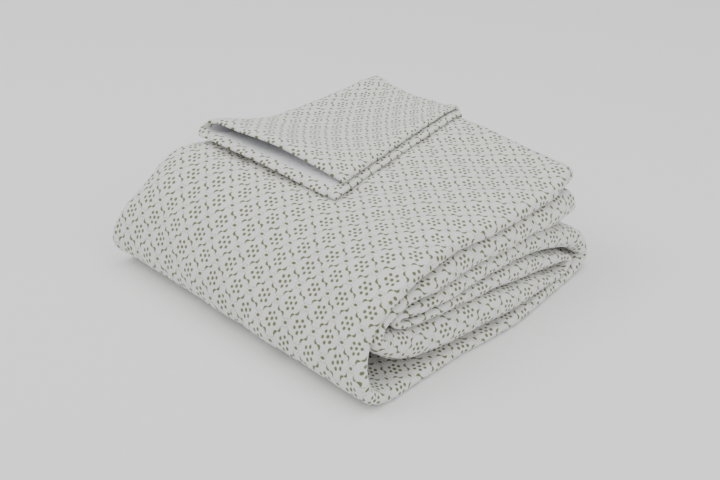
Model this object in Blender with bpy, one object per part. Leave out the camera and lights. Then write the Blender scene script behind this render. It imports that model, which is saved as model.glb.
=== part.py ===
"""Folded quilted coverlet, printed outside and plain inside, in metres with +Z up.

The coverlet is one sheet.  It is doubled across X, so that every layer ends in a closed
fold at +X, and the doubled strip is then folded to and fro across Y.  Its last end is
turned back over the top as a doubled flap with an open mouth.  X runs along the closed
front, Y runs away from it, and the origin is the middle of the footprint on the floor.
"""
import math

import bmesh
import bpy
from mathutils import Vector

COLLECTION = "matelasse_coverlet"
NODE = "coverlet"

# Bundle, in metres
LEFT_END = -0.240  # open side of the layers, at floor level
RIGHT_END = 0.256  # closed side of the layers, at floor level
LEFT_LEAN = 0.14  # how far the open side draws in for each metre of height
RIGHT_LEAN = 0.26  # how far the closed side draws in for each metre of height
RIGHT_TAPER = 0.27  # how the closed side curves away towards +Y
TAPER_START = -0.10  # Y where that curve begins

FOOT_CENTRE = (0.0056, -0.0032)  # middle of the footprint before it is moved to the origin

# Cloth
PLY = 0.0065  # one quilted layer
DIAMOND = 0.064  # side of one quilted diamond
PUFF = 0.0034  # how far a quilted diamond stands out
GRAIN_TURN = math.radians(8.5)  # the outer layer lies this much askew
CLEARANCE = 0.0016  # air between layers that lie on each other
SLIT_DEPTH = 0.022  # how deep the two hems part at the open side
SLIT_WIDTH = 0.0030

# Path of the doubled strip across Y at the fold end, from the back of the top, round the
# front, under the bundle and inwards.  Columns: fold, y, z, thickness, in millimetres
PATH = [
    ("top", 214, 139.0, 14),
    ("top", 160, 137.0, 14),
    ("top", 70, 139.5, 14),
    ("top", -20, 140.0, 14),
    ("top", -85, 138.5, 14),
    ("shoulder", -132, 131.5, 14),
    ("shoulder", -172, 112.0, 14),
    ("front", -203, 82.0, 14),
    ("front", -222, 50.0, 14),
    ("front", -220, 23.5, 16),
    ("base", -192, 8.0, 16),
    ("base", -120, 6.5, 13),
    ("base", 0, 6.5, 13),
    ("base", 130, 6.5, 13),
    ("base", 188, 7.2, 14),
    ("bulge", 218, 19.0, 22),
    ("bulge", 212, 42.0, 27),
    ("bulge", 182, 60.0, 29),
    ("third", 135, 75.5, 31),
    ("third", 75, 85.5, 27),
    ("third", 0, 89.0, 23),
    ("third", -70, 90.5, 18),
    ("third", -118, 91.0, 12),
    ("turn", -143, 90.0, 9),
    ("turn", -153, 82.5, 8),
    ("turn", -143, 75.0, 8),
    ("tongue", -122, 73.5, 9),
    ("tongue", -60, 72.0, 13),
    ("tongue", 5, 66.0, 16),
    ("tongue", 62, 57.0, 24),
    ("tongue", 112, 48.0, 23),
    ("tongue", 156, 37.0, 13),
    ("hook", 179, 32.5, 9),
    ("hook", 188, 25.5, 7),
    ("hook", 180, 19.0, 6),
    ("second", 158, 17.5, 6),
    ("second", 110, 24.0, 16),
    ("second", 50, 29.5, 26),
    ("second", -20, 37.5, 39),
    ("second", -85, 39.5, 42),
    ("second", -135, 45.0, 38),
    ("inside", -180, 66.0, 27),
    ("inside", -178, 89.0, 12),
    ("inside", -146, 106.5, 12),
    ("roll", -95, 114.0, 20),
    ("roll", -30, 115.0, 26),
    ("roll", 50, 115.0, 27),
    ("roll", 120, 112.5, 28),
    ("roll", 170, 106.5, 34),
    ("roll", 206, 104.0, 31),
]
LAST_OUTER = 10  # row of PATH where the outer layer meets the floor

# How the height of the bundle changes.  Columns: x, and the share at three places in Y
LIFT_PLACES = (-0.15, 0.02, 0.20)
LIFT = [
    (-0.230, 1.07, 0.89, 0.97),
    (-0.120, 1.04, 0.93, 0.94),
    (-0.060, 1.02, 0.97, 0.96),
    (-0.005, 1.01, 1.00, 1.05),
    (0.070, 1.00, 1.01, 1.03),
    (0.150, 1.00, 1.01, 1.00),
    (0.240, 0.99, 1.00, 0.98),
]

# How far each fold stands out at the closed side.  Columns: fold, metres
STAND_OUT = {
    "top": 0.004,
    "shoulder": 0.003,
    "front": 0.0,
    "base": -0.002,
    "bulge": 0.0,
    "third": 0.001,
    "turn": -0.006,
    "tongue": -0.004,
    "hook": -0.002,
    "second": 0.001,
    "inside": 0.0,
    "roll": 0.006,
}

# Flap, doubled along its -X edge.  Corners in metres, seen from above
FLAP_LEFT = -0.212
FLAP_TIP = (0.036, -0.058)
FLAP_MOUTH_LEFT = -0.086
FLAP_BACK_RIGHT = -0.024
LOWER_REACH_Y = 0.026  # the lower layer comes this much further out at the mouth
LOWER_REACH_X = 0.012  # and this much at the side
MOUTH_GAPE = 0.012  # how high the upper layer arches over the lower one
LOWER_LIFT = 0.007  # how high the lower layer stands off the top at the mouth
BACK_EDGE = 0.214  # Y where the flap turns down behind the bundle
FOLD_ROOM = 0.0045  # extra air inside the fold along the flap's side
TUCK_HEIGHT = 0.0795  # height where it is tucked in between the layers
TUCK_INNER = 0.158  # Y where the tucked end stops

# Mesh density
STEP_OUTER = 0.021
STEP_INNER = 0.046
STEP_X = 0.0215
ROUND_STEPS = (0.0, 0.55, 0.85, 0.98)  # sine of each step round a closed fold
MOST_TURN = 0.45  # radians between two places on a turn
TURN_ROOM = 0.6  # share of a turn's radius that its inner side may take


def mix(a, b, share):
    return a + (b - a) * share


def smooth(value, start, stop):
    share = min(1.0, max(0.0, (value - start) / (stop - start)))
    return share * share * (3.0 - 2.0 * share)


def through(knots, at):
    """A smooth curve through the knots, read at a place that counts in knots."""
    last = len(knots) - 1
    i = min(int(at), last - 1)
    f = at - i
    p0, p1, p2, p3 = (knots[max(0, min(last, i + k))] for k in (-1, 0, 1, 2))
    return [
        0.5 * (2 * b + (c - a) * f + (2 * a - 5 * b + 4 * c - d) * f * f + (3 * b - a - 3 * c + d) * f**3)
        for a, b, c, d in zip(p0, p1, p2, p3)
    ]


def lift(x, y):
    """The share of its height that the bundle has above a place on the floor."""
    row = LIFT[0][1:]
    for low, high in zip(LIFT, LIFT[1:]):
        if x >= low[0]:
            f = smooth(x, low[0], high[0])
            row = [mix(a, b, f) for a, b in zip(low[1:], high[1:])]
    a, b = LIFT_PLACES[:2] if y < LIFT_PLACES[1] else LIFT_PLACES[1:]
    k = 0 if y < LIFT_PLACES[1] else 1
    return mix(row[k], row[k + 1], smooth(y, a, b))


def bend(x, y, z):
    """Carries a point of the even bundle to its place in the slack, uneven one."""
    behind = smooth(-x, 0.0, 0.05) * smooth(y, 0.10, 0.24) * smooth(z, 0.05, 0.10)
    y -= 0.020 * behind
    belly = smooth(-y, 0.12, 0.21) * smooth(z, 0.0, 0.04)
    y -= belly * (0.009 * smooth(-x, -0.05, 0.22) + 0.003 * math.sin(17.0 * x + 25.0 * z))
    droop = 0.007 * smooth(x, 0.165, 0.235) + 0.010 * smooth(-x, 0.185, 0.240)
    height = z * mix(1.0, lift(x, y), smooth(z, 0.010, 0.060))
    height -= droop * smooth(z, 0.05, 0.13)
    height += 0.0022 * math.sin(14.0 * x + 1.0) * math.sin(12.0 * y + 0.6) * smooth(z, 0.04, 0.12)
    return Vector((x, y, max(0.0, height)))


def puff(along, across):
    """How far the quilting lifts the cloth: nothing on a stitch line, most between."""
    c, s = math.cos(math.pi / 4 + GRAIN_TURN), math.sin(math.pi / 4 + GRAIN_TURN)
    p, q = along * c + across * s, across * c - along * s
    return PUFF * abs(math.sin(math.pi * p / DIAMOND) * math.sin(math.pi * q / DIAMOND)) ** 0.6


def heading(knots, at):
    """Direction of the path, as an angle from +Y towards +Z."""
    y0, z0, _ = through(knots, max(0.0, at - 0.02))
    y1, z1, _ = through(knots, min(len(knots) - 1.0, at + 0.02))
    return math.atan2(z1 - z0, y1 - y0)


def turn_between(first, second):
    """The angle from one heading to another, the short way round."""
    return math.remainder(second - first, 2 * math.pi)


def curvature(knots, at):
    """How sharply the path turns there, positive to the left of its travel."""
    low, high = max(0.0, at - 0.15), min(len(knots) - 1.0, at + 0.15)
    y0, z0, _ = through(knots, low)
    y1, z1, _ = through(knots, high)
    return turn_between(heading(knots, low), heading(knots, high)) / math.hypot(y1 - y0, z1 - z0)


def path_samples():
    """Places along the strip: fold, y, z, thickness, normal and length so far."""
    knots = [(y / 1000, z / 1000, t / 1000) for _, y, z, t in PATH]
    samples, travelled, spent = [], 0.0, 1.0
    fine = [i / 24 for i in range(24 * (len(knots) - 1) + 1)]
    before = knots[0]
    for at in fine:
        y, z, t = through(knots, at)
        moved = math.hypot(y - before[0], z - before[1])
        travelled += moved
        way = heading(knots, at)
        turned = abs(turn_between(samples[-1]["way"], way)) if samples else 0.0
        step = STEP_OUTER if at <= LAST_OUTER else STEP_INNER
        spent += moved / step
        before = (y, z)
        if spent >= 1.0 or turned > MOST_TURN or at == fine[-1]:
            curve = curvature(knots, at)
            room = TURN_ROOM / max(1e-6, abs(curve))
            half = {1: t / 2, -1: t / 2}
            inside = -1 if curve > 0 else 1
            half[inside] = min(t / 2, room)
            normal = (math.sin(way), -math.cos(way))
            sample = {"at": at, "y": y, "z": z, "t": t, "half": half, "normal": normal}
            samples.append({**sample, "way": way, "s": travelled})
            spent = 0.0
    return samples


def ends_of(sample):
    """Where a layer stops at the open side and at the closed side."""
    y, z, at = sample["y"], sample["z"], sample["at"]
    low = int(at)
    out = mix(STAND_OUT[PATH[low][0]], STAND_OUT[PATH[min(low + 1, len(PATH) - 1)][0]], at - low)
    right = RIGHT_END - RIGHT_LEAN * z - RIGHT_TAPER * max(0.0, y - TAPER_START) ** 2 + out
    right += 0.003 * math.sin(23.0 * y + 40.0 * z)
    left = LEFT_END + LEFT_LEAN * z + 0.004 * math.sin(19.0 * y + 50.0 * z)
    return left, right


def stations(sample):
    """X places along one layer, each with the share of the thickness left there."""
    left, right = ends_of(sample)
    radius = sample["t"] / 2
    soft = min(radius, 0.006)
    count = int(round((RIGHT_END - LEFT_END) / STEP_X))
    start, stop = left + soft, right - radius
    out = [(left + soft * 0.1, 1.0 - 0.45 * soft / radius)]
    out += [(mix(start, stop, i / count), 1.0) for i in range(count)]
    out += [(stop + radius * s, math.sqrt(1.0 - s * s)) for s in ROUND_STEPS]
    return out


def skin_point(sample, x, share, side):
    """A point of the outer (side 1) or inner (side -1) face of a layer."""
    ny, nz = sample["normal"]
    half = side * share * sample["half"][side]
    y, z = sample["y"] + ny * half, sample["z"] + nz * half
    point = bend(x, y, z)
    if side > 0 and sample["at"] < LAST_OUTER - 0.5:
        raised = puff(sample["s"], x) * share * smooth(point.z, 0.004, 0.03)
        point += Vector((0.0, ny * raised, nz * raised))
    return point


def build_bundle():
    """The strip as one closed body, rounded at +X and slit between its hems at -X."""
    mesh = bmesh.new()
    samples = path_samples()
    outer, inner = [], []
    for sample in samples:
        row = stations(sample)
        outer.append([mesh.verts.new(skin_point(sample, x, share, 1)) for x, share in row])
        inner.append([mesh.verts.new(skin_point(sample, x, share, -1)) for x, share in row])
    slit = []
    for sample in samples:
        left = ends_of(sample)[0]
        share = min(0.5, SLIT_WIDTH / sample["t"])
        lips = [mesh.verts.new(skin_point(sample, left, share, side)) for side in (1, -1)]
        deep = mesh.verts.new(skin_point(sample, left + SLIT_DEPTH, 0.0, 1))
        slit.append((lips[0], deep, lips[1]))
    last = len(outer[0]) - 1
    for i in range(len(samples) - 1):
        for j in range(last):
            mesh.faces.new((outer[i][j], outer[i][j + 1], outer[i + 1][j + 1], outer[i + 1][j]))
            mesh.faces.new((inner[i][j], inner[i + 1][j], inner[i + 1][j + 1], inner[i][j + 1]))
        mesh.faces.new((outer[i][last], inner[i][last], inner[i + 1][last], outer[i + 1][last]))
        rim = [(outer[i][0], outer[i + 1][0])] + list(zip(slit[i], slit[i + 1])) + [(inner[i][0], inner[i + 1][0])]
        for (a, b), (c, d) in zip(rim, rim[1:]):
            mesh.faces.new((a, b, d, c))
    for i, way in ((0, 1), (len(samples) - 1, -1)):
        middle = [mid_edge(mesh, samples[i], x, share, way) for x, share in stations(samples[i])]
        for j in range(last):
            mesh.faces.new((outer[i][j], middle[j], middle[j + 1], outer[i][j + 1])[::way])
            mesh.faces.new((middle[j], inner[i][j], inner[i][j + 1], middle[j + 1])[::way])
        mesh.faces.new((outer[i][last], middle[last], inner[i][last])[::way])
        lips = slit[i]
        mesh.faces.new((outer[i][0], lips[0], middle[0])[::way])
        mesh.faces.new((lips[0], lips[1], middle[0])[::way])
        mesh.faces.new((lips[1], lips[2], middle[0])[::way])
        mesh.faces.new((lips[2], inner[i][0], middle[0])[::way])
    return mesh


def mid_edge(mesh, sample, x, share, way):
    """The rounded rim at either end of the strip, half a thickness beyond it."""
    ny, nz = sample["normal"]
    reach = way * share * sample["t"] / 2
    y, z = sample["y"] + nz * reach * 0.8, sample["z"] - ny * reach * 0.8
    return mesh.verts.new(bend(x, y, z))


def top_height(x, y, samples):
    """Height of the top of the bundle at a place on it."""
    outer = [skin_point(sample, x, 1.0, 1) for sample in samples if sample["at"] < LAST_OUTER - 2]
    for a, b in zip(outer, outer[1:]):
        if b.y <= y <= a.y:
            return mix(a.z, b.z, (a.y - y) / max(1e-6, a.y - b.y))
    return outer[0].z if y > outer[0].y else 0.0


def flap_plan(layer, across, along):
    """Plan of the flap: across runs 0 to 1 from the fold to the hem, along from the mouth."""
    reach_x = LOWER_REACH_X * layer
    reach_y = LOWER_REACH_Y * layer
    left_y = FLAP_MOUTH_LEFT - reach_y * 0.8
    mouth = Vector((mix(FLAP_LEFT, FLAP_TIP[0] + reach_x, across), mix(left_y, FLAP_TIP[1] - reach_y, across)))
    back_x = mix(FLAP_LEFT + 0.014, FLAP_BACK_RIGHT + reach_x, across)
    back = Vector((back_x, BACK_EDGE))
    return mouth.lerp(back, along)


def flap_section(samples):
    """Rows of the flap from its mouth to its tucked end: along, drop and depth behind."""
    rows = [(along, None) for along in (0.0, 0.04, 0.12, 0.22, 0.34, 0.46, 0.58, 0.70, 0.82, 0.93)]
    down = [(0.55, 0.0), (0.95, 0.10), (1.0, 0.40), (1.0, 0.72), (0.72, 0.96), (0.2, 1.02), (-1.0, 1.04)]
    return rows + [(1.0, turn) for turn in down]


def flap_point(samples, layer, across, row, lift_off):
    """A point on the middle of one layer of the flap; layer 0 is the upper, 1 the lower."""
    along, turn = row
    plan = flap_plan(layer, across, min(along, 1.0))
    if lift_off:
        lift_off += FOLD_ROOM * (1.0 - smooth(across, 0.0, 0.25))
    gape = (1.0 - smooth(along, 0.0, 0.55)) * math.sin(math.pi * min(1.0, across * 0.92 + 0.08)) ** 0.8
    raise_lower = LOWER_LIFT * (1.0 - smooth(along, 0.0, 0.40)) * (1.0 - smooth(across, 0.45, 0.95))
    base = top_height(plan.x, min(plan.y, BACK_EDGE - 0.02), samples) + CLEARANCE + PLY / 2 + raise_lower
    high = base + lift_off + (1.0 - layer) * gape * MOUTH_GAPE
    if turn is None:
        return Vector((plan.x, plan.y, high))
    out, drop = turn
    behind = BACK_EDGE + max(out, 0.0) * (0.006 + lift_off)
    if out < 0.0:
        behind = TUCK_INNER
    bottom = TUCK_HEIGHT - lift_off
    return Vector((plan.x, behind, mix(high, bottom, min(1.0, drop)) - 0.004 * max(0.0, drop - 1.0)))


def build_flap():
    """The doubled flap: an upper and a lower layer, joined by a fold along the -X edge."""
    mesh = bmesh.new()
    samples = path_samples()
    shares = [1.0, 0.97, 0.84, 0.70, 0.56, 0.42, 0.28, 0.14, 0.05]
    spread = PLY + CLEARANCE
    rows = flap_section(samples)
    fold = [math.pi * k / 6 for k in range(1, 6)]
    grid = []
    for row in rows:
        line = [flap_point(samples, 0.0, a, row, spread) for a in shares]
        upper = line[-1]
        below = [flap_point(samples, 1.0, a, row, 0.0) for a in reversed(shares)]
        lower = below[0]
        middle, radius = (upper + lower) / 2, (upper - lower) / 2
        for angle in fold:
            bulge = Vector((-radius.length * math.sin(angle), 0.0, 0.0))
            line.append(middle + radius * math.cos(angle) + bulge)
        grid.append(line + below)
    return grid, mesh


def thicken(grid, mesh):
    """Turns a grid of middle points into a closed sheet with rounded hems."""
    rows, columns = len(grid), len(grid[0])

    def normal(i, j):
        du = grid[min(i + 1, rows - 1)][j] - grid[max(i - 1, 0)][j]
        dv = grid[i][min(j + 1, columns - 1)] - grid[i][max(j - 1, 0)]
        return du.cross(dv).normalized()

    def thin(i, j):
        edge = j in (0, columns - 1) or i == 0
        return 0.55 if edge else 1.0

    sides = []
    for way in (1, -1):
        sides.append(
            [
                [mesh.verts.new(grid[i][j] + normal(i, j) * way * thin(i, j) * PLY / 2) for j in range(columns)]
                for i in range(rows)
            ]
        )
    front, back = sides
    for i in range(rows - 1):
        for j in range(columns - 1):
            mesh.faces.new((front[i][j], front[i + 1][j], front[i + 1][j + 1], front[i][j + 1]))
            mesh.faces.new((back[i][j], back[i][j + 1], back[i + 1][j + 1], back[i + 1][j]))
    for i in range(rows - 1):
        for j, way in ((0, 1), (columns - 1, -1)):
            mesh.faces.new((front[i][j], back[i][j], back[i + 1][j], front[i + 1][j])[::way])
    for j in range(columns - 1):
        for i, way in ((0, -1), (rows - 1, 1)):
            mesh.faces.new((front[i][j], back[i][j], back[i][j + 1], front[i][j + 1])[::way])
    return mesh


def cloth_material():
    """White cotton with an olive print, here as one even tone."""
    material = bpy.data.materials.new("printed_cotton")
    material.use_nodes = True
    shader = material.node_tree.nodes["Principled BSDF"]
    shader.inputs["Base Color"].default_value = (0.56, 0.58, 0.48, 1.0)
    shader.inputs["Roughness"].default_value = 0.85
    shader.inputs["Metallic"].default_value = 0.0
    return material


def make_object(name, bm, collection):
    """Puts a closed mesh into the scene, centred, with its faces pointing out."""
    bmesh.ops.translate(bm, verts=bm.verts, vec=(-FOOT_CENTRE[0], -FOOT_CENTRE[1], 0.0))
    bmesh.ops.recalc_face_normals(bm, faces=bm.faces)
    bmesh.ops.triangulate(bm, faces=bm.faces)
    data = bpy.data.meshes.new(name)
    bm.to_mesh(data)
    bm.free()
    data.shade_smooth()
    thing = bpy.data.objects.new(name, data)
    collection.objects.link(thing)
    return thing


def clear_scene():
    for thing in list(bpy.data.objects):
        bpy.data.objects.remove(thing)


def main():
    clear_scene()
    parts = bpy.data.collections.new(COLLECTION)
    helpers = bpy.data.collections.new("joining_shapes")
    bpy.context.scene.collection.children.link(parts)
    bpy.context.scene.collection.children.link(helpers)
    coverlet = make_object(NODE, build_bundle(), parts)
    coverlet.data.materials.append(cloth_material())
    flap = make_object("flap_shape", thicken(*build_flap()), helpers)
    flap.hide_render = True
    flap.display_type = "WIRE"
    union = coverlet.modifiers.new("flap", "BOOLEAN")
    union.operation = "UNION"
    union.object = flap


main()
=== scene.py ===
"""The looks of the folded quilted coverlet: cloth, print, quilting, light and camera."""
import math

import bmesh
import bpy
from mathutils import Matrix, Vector, noise


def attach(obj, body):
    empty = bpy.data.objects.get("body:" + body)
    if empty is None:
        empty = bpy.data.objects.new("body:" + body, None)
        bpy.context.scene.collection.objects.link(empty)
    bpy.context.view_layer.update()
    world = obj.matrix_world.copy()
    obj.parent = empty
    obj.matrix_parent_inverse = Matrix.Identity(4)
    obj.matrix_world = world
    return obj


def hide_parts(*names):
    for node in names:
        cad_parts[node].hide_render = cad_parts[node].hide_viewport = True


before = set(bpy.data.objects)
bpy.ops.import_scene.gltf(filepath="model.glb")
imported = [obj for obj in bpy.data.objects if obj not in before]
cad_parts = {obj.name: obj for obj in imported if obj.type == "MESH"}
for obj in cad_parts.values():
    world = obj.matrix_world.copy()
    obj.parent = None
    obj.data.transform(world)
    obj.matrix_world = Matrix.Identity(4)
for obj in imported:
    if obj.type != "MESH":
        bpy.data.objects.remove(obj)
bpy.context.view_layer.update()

FOOT_CENTRE = (0.0056, -0.0032)  # middle of the folds' own sizes, moved to the origin

# Bundle, in metres
LEFT_END = -0.240
RIGHT_END = 0.256
LEFT_LEAN = 0.14
RIGHT_LEAN = 0.26
RIGHT_TAPER = 0.27
TAPER_START = -0.10

# Cloth
PLY = 0.0065
CELL = 0.032  # side of one cell of the print
PUFF_OUTER = 0.0030
PUFF_INNER = 0.0012
GRAIN_TURN = math.radians(8.5)
CLEARANCE = 0.0016
HEM = 0.020  # printed turn-in along every edge of the plain side
SLIT_HALF = 0.0008  # half the air between the two plies of a layer

# Columns: fold, y, z, thickness, in millimetres
PATH = [
    ("top", 214, 139.0, 14),
    ("top", 160, 137.0, 14),
    ("top", 70, 139.5, 14),
    ("top", -20, 140.0, 14),
    ("top", -85, 138.5, 14),
    ("shoulder", -132, 131.5, 14),
    ("shoulder", -172, 112.0, 14),
    ("front", -203, 82.0, 14),
    ("front", -222, 50.0, 14),
    ("front", -220, 23.5, 16),
    ("base", -192, 8.0, 16),
    ("base", -120, 6.5, 13),
    ("base", 0, 6.5, 13),
    ("base", 130, 6.5, 13),
    ("base", 188, 7.2, 14),
    ("bulge", 218, 19.0, 22),
    ("bulge", 212, 42.0, 27),
    ("bulge", 182, 60.0, 29),
    ("third", 135, 75.5, 31),
    ("third", 75, 85.5, 27),
    ("third", 0, 89.0, 23),
    ("third", -70, 90.5, 18),
    ("third", -118, 91.0, 12),
    ("turn", -143, 90.0, 9),
    ("turn", -153, 82.5, 8),
    ("turn", -143, 75.0, 8),
    ("tongue", -122, 73.5, 9),
    ("tongue", -60, 72.0, 13),
    ("tongue", 5, 66.0, 16),
    ("tongue", 62, 57.0, 24),
    ("tongue", 112, 48.0, 23),
    ("tongue", 156, 37.0, 13),
    ("hook", 179, 32.5, 9),
    ("hook", 188, 25.5, 7),
    ("hook", 180, 19.0, 6),
    ("second", 158, 17.5, 6),
    ("second", 110, 24.0, 16),
    ("second", 50, 29.5, 26),
    ("second", -20, 37.5, 39),
    ("second", -85, 39.5, 42),
    ("second", -135, 45.0, 38),
    ("inside", -180, 66.0, 27),
    ("inside", -178, 89.0, 12),
    ("inside", -146, 106.5, 12),
    ("roll", -95, 114.0, 20),
    ("roll", -30, 115.0, 26),
    ("roll", 50, 115.0, 27),
    ("roll", 120, 112.5, 28),
    ("roll", 170, 106.5, 34),
    ("roll", 206, 104.0, 31),
]
LAST_OUTER = 10

# Columns: x, and the share of the height at three places in Y
LIFT_PLACES = (-0.15, 0.02, 0.20)
LIFT = [
    (-0.230, 1.07, 0.89, 0.97),
    (-0.120, 1.04, 0.93, 0.94),
    (-0.060, 1.02, 0.97, 0.96),
    (-0.005, 1.01, 1.00, 1.05),
    (0.070, 1.00, 1.01, 1.03),
    (0.150, 1.00, 1.01, 1.00),
    (0.240, 0.99, 1.00, 0.98),
]

STAND_OUT = {
    "top": 0.004,
    "shoulder": 0.003,
    "front": 0.0,
    "base": -0.002,
    "bulge": 0.0,
    "third": 0.001,
    "turn": -0.006,
    "tongue": -0.004,
    "hook": -0.002,
    "second": 0.001,
    "inside": 0.0,
    "roll": 0.006,
}

# Flap
FLAP_LEFT = -0.212
FLAP_TIP = (0.036, -0.058)
FLAP_MOUTH_LEFT = -0.086
FLAP_BACK_RIGHT = -0.024
LOWER_REACH_Y = 0.026
LOWER_REACH_X = 0.012
MOUTH_GAPE = 0.012
LOWER_LIFT = 0.007
BACK_EDGE = 0.214
FOLD_ROOM = 0.0045
TUCK_HEIGHT = 0.0795
TUCK_INNER = 0.158

# Mesh density
STEP_OUTER = 0.0052
STEP_INNER = 0.018
STEP_X = 0.0056
FLAP_STEP = 0.0052
ROUND_STEPS = (0.0, 0.30, 0.55, 0.75, 0.90, 0.98)
TURN_ROOM = 0.6
MOST_TURN = 0.22
PRINTED, REVERSE = 0, 1  # places of the two materials


def mix(a, b, share):
    return a + (b - a) * share


def smooth(value, start, stop):
    share = min(1.0, max(0.0, (value - start) / (stop - start)))
    return share * share * (3.0 - 2.0 * share)


def through(knots, at):
    """A smooth curve through the knots, read at a place that counts in knots."""
    last = len(knots) - 1
    i = min(int(at), last - 1)
    f = at - i
    p0, p1, p2, p3 = (knots[max(0, min(last, i + k))] for k in (-1, 0, 1, 2))
    return [
        0.5 * (2 * b + (c - a) * f + (2 * a - 5 * b + 4 * c - d) * f * f + (3 * b - a - 3 * c + d) * f**3)
        for a, b, c, d in zip(p0, p1, p2, p3)
    ]


def lift(x, y):
    """The share of its height that the bundle has above a place on the floor."""
    row = LIFT[0][1:]
    for low, high in zip(LIFT, LIFT[1:]):
        if x >= low[0]:
            f = smooth(x, low[0], high[0])
            row = [mix(a, b, f) for a, b in zip(low[1:], high[1:])]
    a, b = LIFT_PLACES[:2] if y < LIFT_PLACES[1] else LIFT_PLACES[1:]
    k = 0 if y < LIFT_PLACES[1] else 1
    return mix(row[k], row[k + 1], smooth(y, a, b))


def bend(x, y, z):
    """Carries a point of the even bundle to its place in the slack, uneven one."""
    behind = smooth(-x, 0.0, 0.05) * smooth(y, 0.10, 0.24) * smooth(z, 0.05, 0.10)
    y -= 0.020 * behind
    belly = smooth(-y, 0.12, 0.21) * smooth(z, 0.0, 0.04)
    y -= belly * (0.009 * smooth(-x, -0.05, 0.22) + 0.003 * math.sin(17.0 * x + 25.0 * z))
    droop = 0.007 * smooth(x, 0.165, 0.235) + 0.010 * smooth(-x, 0.185, 0.240)
    height = z * mix(1.0, lift(x, y), smooth(z, 0.010, 0.060))
    height -= droop * smooth(z, 0.05, 0.13)
    height += 0.0022 * math.sin(14.0 * x + 1.0) * math.sin(12.0 * y + 0.6) * smooth(z, 0.04, 0.12)
    return Vector((x, y, max(0.0, height)))


def lattice(along, across, turn=GRAIN_TURN):
    """Flat place on the cloth, in cells of the print, whose rows lie aslant to the edges."""
    c, s = math.cos(math.pi / 4 + turn), math.sin(math.pi / 4 + turn)
    return (along * c + across * s) / CELL, (across * c - along * s) / CELL


def puff(p, q):
    """How far the quilting lifts the cloth, from 0 on a stitch line to 1 between."""
    return abs(math.sin(math.pi * p / 2) * math.sin(math.pi * q / 2)) ** 0.5


def heading(knots, at):
    y0, z0, _ = through(knots, max(0.0, at - 0.02))
    y1, z1, _ = through(knots, min(len(knots) - 1.0, at + 0.02))
    return math.atan2(z1 - z0, y1 - y0)


def turn_between(first, second):
    return math.remainder(second - first, 2 * math.pi)


def curvature(knots, at):
    low, high = max(0.0, at - 0.15), min(len(knots) - 1.0, at + 0.15)
    y0, z0, _ = through(knots, low)
    y1, z1, _ = through(knots, high)
    return turn_between(heading(knots, low), heading(knots, high)) / math.hypot(y1 - y0, z1 - z0)


def path_samples(step_outer, step_inner, most_turn):
    """Places along the strip, with their thickness, normal and length so far."""
    knots = [(y / 1000, z / 1000, t / 1000) for _, y, z, t in PATH]
    samples, travelled, spent = [], 0.0, 1.0
    fine = [i / 40 for i in range(40 * (len(knots) - 1) + 1)]
    before = knots[0]
    for at in fine:
        y, z, t = through(knots, at)
        moved = math.hypot(y - before[0], z - before[1])
        travelled += moved
        way = heading(knots, at)
        turned = abs(turn_between(samples[-1]["way"], way)) if samples else 0.0
        step = step_outer if at <= LAST_OUTER else step_inner
        spent += moved / step
        before = (y, z)
        if spent >= 1.0 or turned > most_turn or at == fine[-1]:
            curve = curvature(knots, at)
            room = TURN_ROOM / max(1e-6, abs(curve))
            half = {1: t / 2, -1: t / 2}
            inside = -1 if curve > 0 else 1
            half[inside] = min(t / 2, room)
            normal = (math.sin(way), -math.cos(way))
            sample = {"at": at, "y": y, "z": z, "t": t, "half": half, "normal": normal}
            samples.append({**sample, "way": way, "s": travelled})
            spent = 0.0
    return samples


def ends_of(sample):
    """Where a layer stops at the open side and at the closed side."""
    y, z, at = sample["y"], sample["z"], sample["at"]
    low = int(at)
    out = mix(STAND_OUT[PATH[low][0]], STAND_OUT[PATH[min(low + 1, len(PATH) - 1)][0]], at - low)
    right = RIGHT_END - RIGHT_LEAN * z - RIGHT_TAPER * max(0.0, y - TAPER_START) ** 2 + out
    right += 0.003 * math.sin(23.0 * y + 40.0 * z)
    right += 0.0035 * noise.noise(Vector((sample["s"] * 16.0, 3.7, 0.0)))
    left = LEFT_END + LEFT_LEAN * z + 0.004 * math.sin(19.0 * y + 50.0 * z)
    return left, right


def ripple(p, q, place):
    """Small slack of the cloth, in metres, from its place on the flat sheet."""
    broad = noise.noise(Vector((p * 0.55, q * 0.55, 1.3)))
    fine = noise.noise(Vector((p * 2.1, q * 2.1, 7.9)))
    return 0.0013 * broad + 0.0007 * fine * (0.4 + 0.6 * place)


class Sheet:
    """Collects the points, faces, flat places and sides of the cloth."""

    def __init__(self):
        self.points, self.flat, self.faces, self.sides = [], [], [], []

    def add(self, point, flat):
        self.points.append((point.x - FOOT_CENTRE[0], point.y - FOOT_CENTRE[1], max(0.0, point.z)))
        self.flat.append(flat)
        return len(self.points) - 1

    def face(self, corners, side):
        self.faces.append(corners)
        self.sides.append(side)

    def to_object(self, name, materials):
        mesh = bpy.data.meshes.new(name)
        mesh.from_pydata(self.points, [], self.faces)
        for material in materials:
            mesh.materials.append(material)
        mesh.polygons.foreach_set("material_index", self.sides)
        layer = mesh.uv_layers.new(name="cloth")
        for loop in mesh.loops:
            layer.data[loop.index].uv = self.flat[loop.vertex_index]
        shape = bmesh.new()
        shape.from_mesh(mesh)
        bmesh.ops.recalc_face_normals(shape, faces=shape.faces)
        shape.to_mesh(mesh)
        shape.free()
        mesh.shade_smooth()
        mesh.update()
        thing = bpy.data.objects.new(name, mesh)
        bpy.context.scene.collection.objects.link(thing)
        return thing


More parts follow.
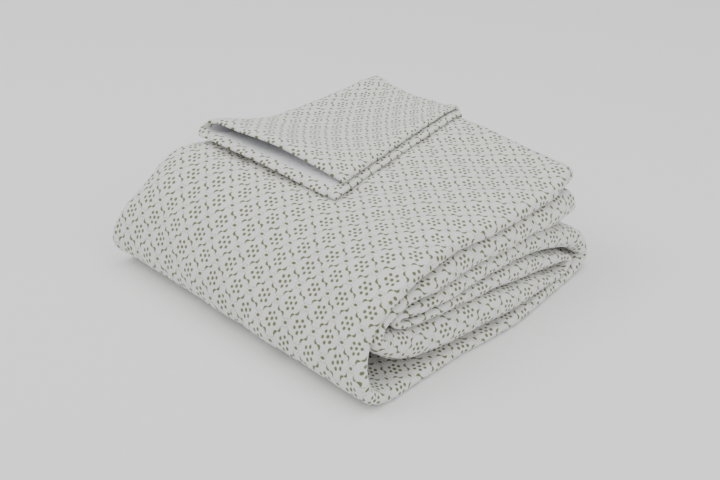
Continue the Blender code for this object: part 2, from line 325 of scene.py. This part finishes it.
def layer_row(sample):
    """Places round one doubled layer, from its open lips round the closed fold and back.

    Each place is x, side, share of the half thickness and flat distance across; the
    plain side lies in the back and front groups.
    """
    left, right = ends_of(sample)
    radius = sample["t"] / 2
    tip = min(radius, 0.004)
    count = int(round((RIGHT_END - LEFT_END) / STEP_X))
    start, stop = left + tip, right - radius
    slit = min(0.3, SLIT_HALF / radius)
    middle = (1.0 + slit) / 2
    flat_stop = stop + radius * math.pi / 2
    skin = [(left, middle), (left + 0.3 * tip, mix(middle, 1.0, 0.75))]
    skin += [(mix(start, stop, i / count), 1.0) for i in range(count)]
    skin = [(x, share, x) for x, share in skin]
    skin += [(stop + radius * s, math.sqrt(1.0 - s * s), stop + radius * math.asin(s)) for s in ROUND_STEPS]
    outer = [(x, 1, share, v) for x, share, v in skin]
    inner = [(x, -1, share, 2 * flat_stop - v) for x, share, v in reversed(skin)]
    lining = [left + 0.3 * tip, left + HEM] + [mix(left + HEM, stop, k / 14) for k in range(1, 15)]
    shares = [mix(middle, slit, 0.75)] + [slit] * (len(lining) - 1)
    back = [(x, -1, share, 2 * flat_stop - x) for x, share in zip(lining, shares)]
    front = [(x, 1, share, x) for x, share in zip(reversed(lining), reversed(shares))]
    return outer, inner, back, front


def cloth_point(sample, x, side, share, p, q, raised):
    ny, nz = sample["normal"]
    half = side * share * sample["half"][side]
    y, z = sample["y"] + ny * half, sample["z"] + nz * half
    point = bend(x, y, z)
    if raised:
        outside = side > 0 and sample["at"] < LAST_OUTER - 0.5
        height = PUFF_OUTER if outside else PUFF_INNER
        slack = ripple(p, q, puff(p, q)) * (1.0 if outside else 0.5)
        stand = (height * puff(p, q) + slack) * min(1.0, share * 1.4)
        stand *= side * smooth(point.z, 0.004, 0.03)
        point += Vector((0.0, ny * stand, nz * stand))
        if x > 0.0:
            nose = math.sqrt(max(0.0, 1.0 - share * share))
            point.x += nose * (PUFF_INNER * puff(p, q) + ripple(p, q, 1.0))
    return point


def build_bundle(sheet):
    """The doubled strip, folded to and fro: printed outside, plain between its plies."""
    samples = path_samples(STEP_OUTER, STEP_INNER, MOST_TURN)
    rings, counts = [], None
    for sample in samples:
        groups = layer_row(sample)
        counts = [len(group) for group in groups]
        ring = []
        for number, group in enumerate(groups):
            for x, side, share, across in group:
                p, q = lattice(sample["s"], across)
                point = cloth_point(sample, x, side, share, p, q, number < 2)
                ring.append(sheet.add(point, (p, q)))
        rings.append(ring)
    size = len(rings[0])
    skins = counts[0] + counts[1]
    plain = set(range(skins + 1, size - 2)) - {skins + counts[2] - 1}
    for a, b in zip(rings, rings[1:]):
        for j in range(size):
            k = (j + 1) % size
            side = REVERSE if j in plain else PRINTED
            sheet.face((a[j], b[j], b[k], a[k]), side)
    for ring, way in ((rings[0], -1), (rings[-1], 1)):
        close_end(sheet, ring, counts, way)
    return samples


def close_end(sheet, ring, counts, way):
    """Closes the cut end of a doubled layer between its skin and its lining."""
    outer = ring[:counts[0]]
    inner = ring[counts[0]:counts[0] + counts[1]]
    back = ring[counts[0] + counts[1]:counts[0] + counts[1] + counts[2]]
    front = ring[counts[0] + counts[1] + counts[2]:]
    skin = outer + inner
    lining = list(reversed(back + front))
    fan(sheet, skin, lining, way)


def fan(sheet, first, second, way):
    """A strip of triangles between two rows of points that run the same way."""
    i = j = 0
    while i < len(first) - 1 or j < len(second) - 1:
        step_first = j == len(second) - 1
        if i < len(first) - 1 and j < len(second) - 1:
            step_first = (i + 1) / (len(first) - 1) <= (j + 1) / (len(second) - 1)
        if step_first:
            corners = (first[i], first[i + 1], second[j])
            i += 1
        else:
            corners = (first[i], second[j + 1], second[j])
            j += 1
        sheet.face(corners[::way], PRINTED)


def top_rows(samples):
    """The top face of the bundle as rows of points at even steps in X, for the flap."""
    chosen = [sample for sample in samples if sample["at"] < LAST_OUTER - 2]
    xs = [mix(-0.24, 0.10, k / 40) for k in range(41)]
    table = []
    for x in xs:
        line = []
        for sample in chosen:
            p, q = lattice(sample["s"], x)
            line.append(cloth_point(sample, x, 1, 1.0, p, q, False))
        table.append(line)
    return xs, table


def top_height(x, y, xs, table):
    def on_line(line):
        for a, b in zip(line, line[1:]):
            if b.y <= y <= a.y:
                return mix(a.z, b.z, (a.y - y) / max(1e-6, a.y - b.y))
        return line[0].z

    place = min(len(xs) - 1.001, max(0.0, (x - xs[0]) / (xs[1] - xs[0])))
    k = int(place)
    return mix(on_line(table[k]), on_line(table[k + 1]), place - k)


def flap_plan(layer, across, along):
    reach_x = LOWER_REACH_X * layer
    reach_y = LOWER_REACH_Y * layer
    left_y = FLAP_MOUTH_LEFT - reach_y * 0.8
    mouth_x = mix(FLAP_LEFT, FLAP_TIP[0] + reach_x, across)
    mouth = Vector((mouth_x, mix(left_y, FLAP_TIP[1] - reach_y, across)))
    back_x = mix(FLAP_LEFT + 0.014, FLAP_BACK_RIGHT + reach_x, across)
    back = Vector((back_x, BACK_EDGE))
    return mouth.lerp(back, along)


def flap_rows():
    """Rows of the flap from its mouth to its tucked end: along, drop and depth behind."""
    count = int(0.28 / FLAP_STEP)
    rows = [(0.95 * i / count, None) for i in range(count + 1)]
    down = [(0.0, 0.0), (0.55, 0.0), (0.95, 0.10), (1.0, 0.40)]
    down += [(1.0, 0.72), (0.72, 0.96), (0.2, 1.02), (-1.0, 1.04)]
    knots = [(out, drop, 0.0) for out, drop in down]
    smooth_down = [through(knots, 1 + k / 4) for k in range(25)]
    return rows + [(1.0, (out, drop)) for out, drop, _ in smooth_down]


def flap_point(tops, layer, across, row, lift_off):
    along, turn = row
    plan = flap_plan(layer, across, min(along, 1.0))
    if lift_off:
        lift_off += FOLD_ROOM * (1.0 - smooth(across, 0.0, 0.25))
    gape = (1.0 - smooth(along, 0.0, 0.55)) * math.sin(math.pi * min(1.0, across * 0.92 + 0.08)) ** 0.8
    raise_lower = LOWER_LIFT * (1.0 - smooth(along, 0.0, 0.40)) * (1.0 - smooth(across, 0.45, 0.95))
    base = top_height(plan.x, min(plan.y, BACK_EDGE - 0.02), *tops) + PUFF_OUTER + PLY / 2 + raise_lower
    high = base + lift_off + (1.0 - layer) * gape * MOUTH_GAPE
    if turn is None:
        return Vector((plan.x, plan.y, high))
    out, drop = turn
    behind = BACK_EDGE + max(out, 0.0) * (0.006 + lift_off)
    if out < 0.0:
        behind = mix(BACK_EDGE, TUCK_INNER, -out)
    bottom = TUCK_HEIGHT - lift_off
    return Vector((plan.x, behind, mix(high, bottom, min(1.0, drop)) - 0.004 * max(0.0, drop - 1.0)))


def build_flap(sheet, samples):
    """The doubled flap with its open mouth: plain inside, with a printed hem all round."""
    tops = top_rows(samples)
    width = FLAP_TIP[0] - FLAP_LEFT
    count = int(width / FLAP_STEP)
    shares = [1.0, 0.985] + [mix(0.97, 0.04, k / count) for k in range(count + 1)]
    spread = PLY + CLEARANCE
    angles = [math.pi * k / 10 for k in range(1, 10)]
    grid = []
    for row in flap_rows():
        line = [flap_point(tops, 0.0, a, row, spread) for a in shares]
        upper = line[-1]
        below = [flap_point(tops, 1.0, a, row, 0.0) for a in reversed(shares)]
        middle, radius = (upper + below[0]) / 2, (upper - below[0]) / 2
        for angle in angles:
            bulge = Vector((-radius.length * math.sin(angle), 0.0, 0.0))
            line.append(middle + radius * math.cos(angle) + bulge)
        grid.append(line + below)
    columns = len(grid[0])
    across_flat = [0.0]
    for a, b in zip(grid[0], grid[0][1:]):
        across_flat.append(across_flat[-1] + (b - a).length)
    along_flat = [0.0]
    for a, b in zip(grid, grid[1:]):
        along_flat.append(along_flat[-1] + (b[columns // 4] - a[columns // 4]).length)
    thicken(sheet, grid, along_flat, across_flat)


def thicken(sheet, grid, along_flat, across_flat):
    rows, columns = len(grid), len(grid[0])

    def normal(i, j):
        du = grid[min(i + 1, rows - 1)][j] - grid[max(i - 1, 0)][j]
        dv = grid[i][min(j + 1, columns - 1)] - grid[i][max(j - 1, 0)]
        return du.cross(dv).normalized()

    def thin(i, j):
        edge = min(j, columns - 1 - j, i)
        return (0.35, 0.8, 1.0)[min(edge, 2)]

    sides = {}
    for way in (1, -1):
        block = []
        for i in range(rows):
            line = []
            for j in range(columns):
                p, q = lattice(along_flat[i], across_flat[j], 0.0)
                inset = smooth(min(i, j, columns - 1 - j), 0, 3)
                stand = thin(i, j) * PLY / 2
                if way > 0:
                    stand += inset * (0.0018 * puff(p, q) + 0.7 * ripple(p, q, puff(p, q)))
                else:
                    stand += inset * 0.5 * ripple(q, p, puff(p, q))
                line.append(sheet.add(grid[i][j] + normal(i, j) * way * stand, (p, q)))
            block.append(line)
        sides[way] = block
    front, back = sides[1], sides[-1]
    for i in range(rows - 1):
        for j in range(columns - 1):
            near = along_flat[i + 1] < HEM or across_flat[j + 1] < HEM
            near = near or across_flat[-1] - across_flat[j] < HEM
            sheet.face((front[i][j], front[i + 1][j], front[i + 1][j + 1], front[i][j + 1]), PRINTED)
            corners = (back[i][j], back[i][j + 1], back[i + 1][j + 1], back[i + 1][j])
            sheet.face(corners, PRINTED if near else REVERSE)
    for i in range(rows - 1):
        for j, way in ((0, 1), (columns - 1, -1)):
            corners = (front[i][j], back[i][j], back[i + 1][j], front[i + 1][j])
            sheet.face(corners[::way], PRINTED)
    for j in range(columns - 1):
        for i, way in ((0, -1), (rows - 1, 1)):
            corners = (front[i][j], back[i][j], back[i][j + 1], front[i][j + 1])
            sheet.face(corners[::way], PRINTED)


class Nodes:
    """Short names for the nodes that draw the print."""

    def __init__(self, material):
        material.use_nodes = True
        self.tree = material.node_tree
        self.shader = self.tree.nodes["Principled BSDF"]

    def new(self, kind, **settings):
        node = self.tree.nodes.new(kind)
        for key, value in settings.items():
            setattr(node, key, value)
        return node

    def link(self, source, target):
        self.tree.links.new(source, target)

    def math(self, operation, *values, clamp=False):
        node = self.new("ShaderNodeMath", operation=operation, use_clamp=clamp)
        for place, value in enumerate(values):
            if isinstance(value, (int, float)):
                node.inputs[place].default_value = value
            else:
                self.link(value, node.inputs[place])
        return node.outputs[0]

    def add(self, a, b):
        return self.math("ADD", a, b)

    def sub(self, a, b):
        return self.math("SUBTRACT", a, b)

    def mul(self, a, b):
        return self.math("MULTIPLY", a, b)

    def most(self, a, b):
        return self.math("MAXIMUM", a, b)

    def length(self, a, b):
        return self.math("SQRT", self.add(self.mul(a, a), self.mul(b, b)))

    def inside(self, distance, radius, soft):
        """1 where the distance is under the radius, with a soft edge."""
        node = self.new("ShaderNodeMapRange", interpolation_type="SMOOTHSTEP")
        self.link(distance, node.inputs["Value"])
        node.inputs["From Min"].default_value = radius - soft
        node.inputs["From Max"].default_value = radius + soft
        node.inputs["To Min"].default_value = 1.0
        node.inputs["To Max"].default_value = 0.0
        return node.outputs["Result"]

    def noise(self, vector, scale, detail=2.0):
        node = self.new("ShaderNodeTexNoise")
        node.inputs["Scale"].default_value = scale
        node.inputs["Detail"].default_value = detail
        self.link(vector, node.inputs["Vector"])
        return node.outputs["Fac"]

    def mix_colour(self, share, first, second):
        node = self.new("ShaderNodeMix", data_type="RGBA")
        self.link(share, node.inputs["Factor"])
        for value, socket in ((first, node.inputs[6]), (second, node.inputs[7])):
            if isinstance(value, tuple):
                socket.default_value = value
            else:
                self.link(value, socket)
        return node.outputs[2]


INK_EDGE = 0.016  # softness of the printed edge, in cells
DOT = 0.068  # radius of a dot of the rosette
ROSETTE = 0.225  # distance of its six outer dots
PIN = 0.020  # radius of a dot in the ring round a crossing
PIN_RING = 0.165
LEAF_PLACE = 0.115  # distance of a leaf's middle from the middle of the cell's side
LEAF_HALF = 0.052  # half a leaf's width
LEAF_REACH = 0.225
LEAF_BOW = 0.055
THREAD_BOW = 0.045
THREAD_HALF = 0.011
THREAD_START = 0.17
THREAD_REACH = 0.40
PALE_INK = (0.27, 0.29, 0.17, 1.0)
DEEP_INK = (0.085, 0.105, 0.022, 1.0)
WORN_INK = (0.16, 0.18, 0.055, 1.0)
DIM_GROUND = (0.76, 0.755, 0.735, 1.0)
LIGHT_GROUND = (0.84, 0.835, 0.82, 1.0)
# painted shade: the grey laid over the print ground along the quilting stitch lines, where the sunken
# valleys fall in shade
STITCH_PAINTED_SHADE = (0.55, 0.55, 0.52, 1.0)


def polar_dots(n, x, y, count, ring, radius, turn=0.0):
    """A ring of even dots round a middle."""
    angle = n.add(n.math("ARCTAN2", y, x), turn)
    sector = 2 * math.pi / count
    folded = n.sub(n.math("FLOORED_MODULO", n.add(angle, sector / 2), sector), sector / 2)
    reach = n.length(x, y)
    ahead = n.sub(n.mul(reach, n.math("COSINE", folded)), ring)
    aside = n.mul(reach, n.math("SINE", folded))
    return n.inside(n.length(ahead, aside), radius, INK_EDGE)


def curled_leaves(n, off, run):
    """Two small leaves that curl away from each other along one side of a cell."""
    length = n.math("ABSOLUTE", run)
    bow = n.mul(n.math("SINE", n.mul(run, 13.5)), LEAF_BOW)
    from_middle = n.mul(n.math("ABSOLUTE", n.sub(length, LEAF_PLACE)), 9.0)
    swell = n.most(n.sub(1.0, n.math("POWER", from_middle, 2.0)), 0.0)
    width = n.mul(n.math("SQRT", swell), LEAF_HALF)
    gap = n.sub(n.math("ABSOLUTE", n.sub(off, bow)), width)
    leaf = n.inside(gap, 0.0, INK_EDGE)
    leaf = n.mul(leaf, n.inside(length, LEAF_REACH, 0.01))
    wave = n.mul(n.math("SINE", n.mul(run, 11.0)), -THREAD_BOW)
    thread = n.inside(n.math("ABSOLUTE", n.sub(off, wave)), THREAD_HALF, 0.010)
    thread = n.mul(thread, n.inside(length, THREAD_REACH, 0.02))
    thread = n.mul(thread, n.sub(1.0, n.inside(length, THREAD_START, 0.02)))
    return leaf, thread


def draw_print(n, flat):
    """The block print, from the flat place on the cloth in cells: full and pale ink."""
    wobble = n.new("ShaderNodeTexNoise")
    wobble.inputs["Scale"].default_value = 1.7
    wobble.inputs["Detail"].default_value = 2.0
    n.link(flat, wobble.inputs["Vector"])
    shift = n.new("ShaderNodeVectorMath", operation="MULTIPLY_ADD")
    n.link(wobble.outputs["Color"], shift.inputs[0])
    shift.inputs[1].default_value = (0.10, 0.10, 0.0)
    n.link(flat, shift.inputs[2])
    split = n.new("ShaderNodeSeparateXYZ")
    n.link(shift.outputs[0], split.inputs[0])
    p, q = split.outputs["X"], split.outputs["Y"]
    cell_p = n.sub(p, n.math("ROUND", p))
    cell_q = n.sub(q, n.math("ROUND", q))
    cross_p = n.sub(n.math("FRACT", p), 0.5)
    cross_q = n.sub(n.math("FRACT", q), 0.5)
    ink = polar_dots(n, cell_p, cell_q, 6, ROSETTE, DOT)
    ink = n.most(ink, n.inside(n.length(cell_p, cell_q), DOT, INK_EDGE))
    slant_a = n.mul(n.add(cross_p, cross_q), 0.62)
    slant_b = n.sub(cross_p, cross_q)
    ink = n.most(ink, n.inside(n.length(slant_a, slant_b), 0.082, INK_EDGE))
    pale = polar_dots(n, cross_p, cross_q, 10, PIN_RING, PIN)
    for off, run in ((cross_p, cell_q), (cross_q, cell_p)):
        leaf, thread = curled_leaves(n, off, run)
        ink = n.most(ink, leaf)
        pale = n.most(pale, thread)
    return ink, pale


def flat_place(n):
    node = n.new("ShaderNodeUVMap", uv_map="cloth")
    return node.outputs["UV"]


def cloth_bump(n, flat, strength, distance):
    """The weave and the small puckers between the stitches."""
    pucker = n.noise(flat, 5.5, 3.0)
    weave = n.new("ShaderNodeTexWave", wave_type="BANDS", bands_direction="X")
    weave.inputs["Scale"].default_value = 14.0
    weave.inputs["Distortion"].default_value = 1.5
    n.link(flat, weave.inputs["Vector"])
    cross = n.new("ShaderNodeTexWave", wave_type="BANDS", bands_direction="Y")
    cross.inputs["Scale"].default_value = 14.0
    cross.inputs["Distortion"].default_value = 1.5
    n.link(flat, cross.inputs["Vector"])
    split = n.new("ShaderNodeSeparateXYZ")
    n.link(flat, split.inputs[0])
    seams = []
    for axis in ("X", "Y"):
        half = n.mul(split.outputs[axis], 0.5)
        near = n.math("ABSOLUTE", n.sub(half, n.math("ROUND", half)))
        seams.append(n.inside(near, 0.012, 0.012))
    seam = n.most(*seams)
    height = n.add(n.mul(pucker, 1.0), n.mul(n.mul(weave.outputs["Fac"], cross.outputs["Fac"]), 0.18))
    height = n.sub(height, n.mul(seam, 0.55))
    bump = n.new("ShaderNodeBump")
    bump.inputs["Strength"].default_value = strength
    bump.inputs["Distance"].default_value = distance
    n.link(height, bump.inputs["Height"])
    n.link(bump.outputs["Normal"], n.shader.inputs["Normal"])
    # seam is the mask of the stitch lines; the materials also use it to paint shade into the stitch valleys
    return seam


def matt_cotton(n, roughness):
    n.shader.inputs["Roughness"].default_value = roughness
    n.shader.inputs["Specular IOR Level"].default_value = 0.25
    n.shader.inputs["Sheen Weight"].default_value = 0.15
    n.shader.inputs["Sheen Roughness"].default_value = 0.5


def printed_cotton():
    material = bpy.data.materials.new("printed_cotton_cloth")
    n = Nodes(material)
    flat = flat_place(n)
    ink, pale = draw_print(n, flat)
    seam = cloth_bump(n, flat, 0.55, 0.0012)
    patchy = n.noise(flat, 0.8, 2.0)
    grain = n.noise(flat, 30.0, 2.0)
    tint = n.mix_colour(patchy, DIM_GROUND, LIGHT_GROUND)
    # painted shade along the sunken stitch valleys of the quilting
    tint = n.mix_colour(n.mul(seam, 0.10), tint, STITCH_PAINTED_SHADE)
    colour = n.mix_colour(n.mul(pale, 0.62), tint, PALE_INK)
    worn = n.mix_colour(grain, DEEP_INK, WORN_INK)
    colour = n.mix_colour(n.mul(ink, 0.95), colour, worn)
    n.link(colour, n.shader.inputs["Base Color"])
    matt_cotton(n, 0.86)
    return material


def plain_cotton():
    material = bpy.data.materials.new("plain_cotton_reverse")
    n = Nodes(material)
    flat = flat_place(n)
    seam = cloth_bump(n, flat, 0.6, 0.0014)
    patchy = n.noise(flat, 1.1, 2.0)
    tint = n.mix_colour(patchy, (0.78, 0.78, 0.815, 1.0), (0.84, 0.84, 0.87, 1.0))
    # painted shade: the plain side is darkened to grey along the sunken stitch valleys of the quilting
    tint = n.mix_colour(n.mul(seam, 0.25), tint, (0.58, 0.58, 0.62, 1.0))
    n.link(tint, n.shader.inputs["Base Color"])
    matt_cotton(n, 0.88)
    return material


def build_floor():
    mesh = bpy.data.meshes.new("floor")
    half = 6.0
    corners = [(-half, -half, 0), (half, -half, 0), (half, half, 0), (-half, half, 0)]
    mesh.from_pydata(corners, [], [(0, 1, 2, 3)])
    floor = bpy.data.objects.new("floor", mesh)
    bpy.context.scene.collection.objects.link(floor)
    material = bpy.data.materials.new("floor_white")
    n = Nodes(material)
    n.shader.inputs["Base Color"].default_value = (0.93, 0.93, 0.93, 1.0)
    n.shader.inputs["Roughness"].default_value = 0.9
    mesh.materials.append(material)


LIGHTS = [
    # name, place, aim, size, power
    ("key", (-1.3, -1.3, 2.6), (0.0, 0.0, 0.05), 1.6, 34.0),
    ("top", (0.3, 0.5, 2.8), (0.0, 0.0, 0.05), 2.2, 30.0),
    ("right", (2.4, 0.4, 1.3), (0.1, 0.0, 0.05), 1.8, 12.0),
]


def build_lights():
    world = bpy.data.worlds.new("studio")
    world.use_nodes = True
    background = world.node_tree.nodes["Background"]
    background.inputs["Color"].default_value = (1.0, 1.0, 1.0, 1.0)
    background.inputs["Strength"].default_value = 0.75
    bpy.context.scene.world = world
    for name, place, aim, size, power in LIGHTS:
        data = bpy.data.lights.new(name, "AREA")
        data.size = size
        data.energy = power
        lamp = bpy.data.objects.new(name, data)
        lamp.location = place
        lamp.rotation_euler = (Vector(aim) - Vector(place)).to_track_quat("-Z", "Y").to_euler()
        bpy.context.scene.collection.objects.link(lamp)


# Camera, as the photograph has it
CAMERA_AZIMUTH = math.radians(46.4)
CAMERA_ELEVATION = math.radians(29.94)
CAMERA_AIM = Vector((0.0108, -0.0075, 0.05))
CAMERA_DISTANCE = 1.632
LENS = 60.0
SENSOR = 36.0


def build_camera():
    data = bpy.data.cameras.new("camera")
    data.lens = LENS
    data.sensor_width = SENSOR
    data.sensor_fit = "HORIZONTAL"
    flat = Vector((-math.sin(CAMERA_AZIMUTH), math.cos(CAMERA_AZIMUTH), 0.0))
    look = flat * math.cos(CAMERA_ELEVATION) + Vector((0.0, 0.0, -math.sin(CAMERA_ELEVATION)))
    camera = bpy.data.objects.new("camera", data)
    camera.location = CAMERA_AIM - look * CAMERA_DISTANCE
    camera.rotation_euler = look.to_track_quat("-Z", "Y").to_euler()
    bpy.context.scene.collection.objects.link(camera)
    bpy.context.scene.camera = camera


build_camera()
sheet = Sheet()
build_flap(sheet, build_bundle(sheet))
cloth = sheet.to_object("coverlet_cloth", [printed_cotton(), plain_cotton()])
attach(cloth, "root")
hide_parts("coverlet")
build_floor()
build_lights()
